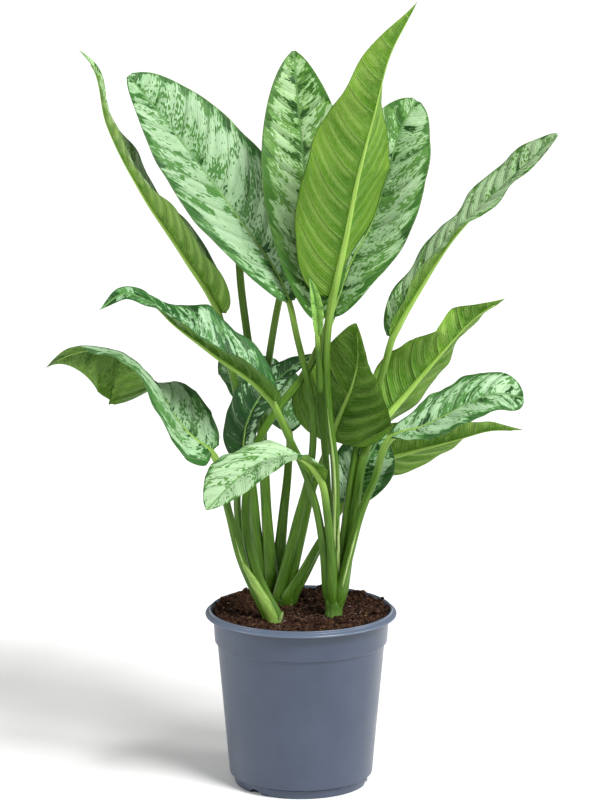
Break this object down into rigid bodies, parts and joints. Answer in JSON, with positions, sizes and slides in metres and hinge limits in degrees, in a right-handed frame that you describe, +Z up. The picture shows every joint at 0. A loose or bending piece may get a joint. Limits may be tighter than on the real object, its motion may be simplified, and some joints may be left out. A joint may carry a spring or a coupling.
{
  "type": "potted chinese evergreen",
  "caption": "Leafy foliage plant with broad silver and green variegated leaves on arching stalks, in a round tapered plastic nursery pot of soil.",
  "frame": {"origin": "on the pot's axis, in the plane of the foot it stands on", "axes": "+Z up along the pot's axis; -Y towards the side the picture shows; +X to that side's right"},
  "size_m": [0.5002, 0.4211, 0.7885],
  "materials": {
    "pot": "slate blue moulded plastic, slightly satin",
    "soil": null,
    "cane": null,
    "leaf": null
  },
  "bodies": {
    "root": {"pot": "pot", "soil": "soil", "cane_front_left": "cane", "cane_back_left": "cane", "cane_middle": "cane", "cane_right": "cane", "leaf_left_high": "leaf", "leaf_upper_left": "leaf", "leaf_top_centre": "leaf", "leaf_top_front": "leaf", "leaf_upper_right": "leaf", "leaf_right_high": "leaf", "leaf_left_middle": "leaf", "leaf_left_low": "leaf", "leaf_front_low": "leaf", "leaf_left_inner": "leaf", "leaf_back_left": "leaf", "leaf_centre": "leaf", "leaf_right_middle": "leaf", "leaf_right_low": "leaf", "leaf_right_lowest": "leaf", "leaf_right_inner": "leaf", "leaf_back_high": "leaf", "leaf_back_top": "leaf", "leaf_young": "leaf"}
  },
  "joints": []
}
